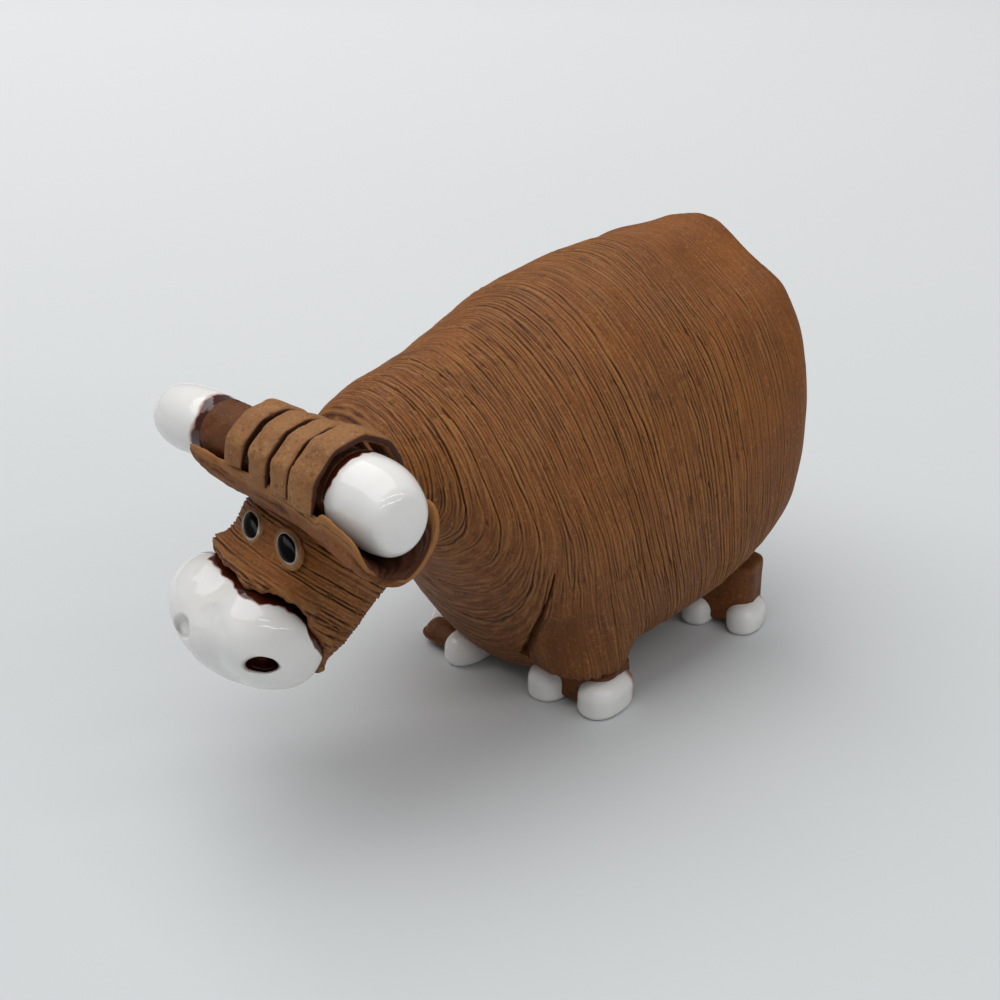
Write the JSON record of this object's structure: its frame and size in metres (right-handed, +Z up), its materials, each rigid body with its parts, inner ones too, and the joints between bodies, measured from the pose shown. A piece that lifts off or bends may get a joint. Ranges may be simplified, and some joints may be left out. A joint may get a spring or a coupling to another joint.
{
  "type": "highland cow figurine",
  "caption": "Standing highland cow in hand-built clay: combed unglazed hide, clay horn roll with forelock curls, glossy white glazed muzzle, horn tips and toes.",
  "frame": {"origin": "middle of the figurine's bounding box, on the surface that its toes stand on", "axes": "+Z up; -Y the way the nose points, so +Y runs from the nose to the tail; +X the cow's own left side"},
  "size_m": [0.054, 0.112, 0.0677],
  "materials": {
    "combed_clay": "unglazed red-brown stoneware, combed in fine grooves",
    "tan_clay": "unglazed stoneware with a rubbed, lighter tan skin",
    "white_glaze": "thick glossy white glaze, thinner and warmer at its edges",
    "black_glaze": "glossy black glaze"
  },
  "bodies": {
    "root": {"trunk": "combed_clay", "tail": "combed_clay", "head": "combed_clay", "horn_core": "combed_clay", "foot_front_left": "combed_clay", "foot_front_right": "combed_clay", "foot_rear_left": "combed_clay", "foot_rear_right": "combed_clay", "ears": "tan_clay", "forelock_curl_1": "tan_clay", "forelock_curl_2": "tan_clay", "forelock_curl_3": "tan_clay", "forelock_curl_4": "tan_clay", "muzzle": "white_glaze", "horn_tip_left": "white_glaze", "horn_tip_right": "white_glaze", "eye_white_left": "white_glaze", "eye_white_right": "white_glaze", "toe_front_left_inner": "white_glaze", "toe_front_left_outer": "white_glaze", "toe_front_right_inner": "white_glaze", "toe_front_right_outer": "white_glaze", "toe_rear_left_inner": "white_glaze", "toe_rear_left_outer": "white_glaze", "toe_rear_right_inner": "white_glaze", "toe_rear_right_outer": "white_glaze", "pupil_left": "black_glaze", "pupil_right": "black_glaze"}
  },
  "joints": []
}
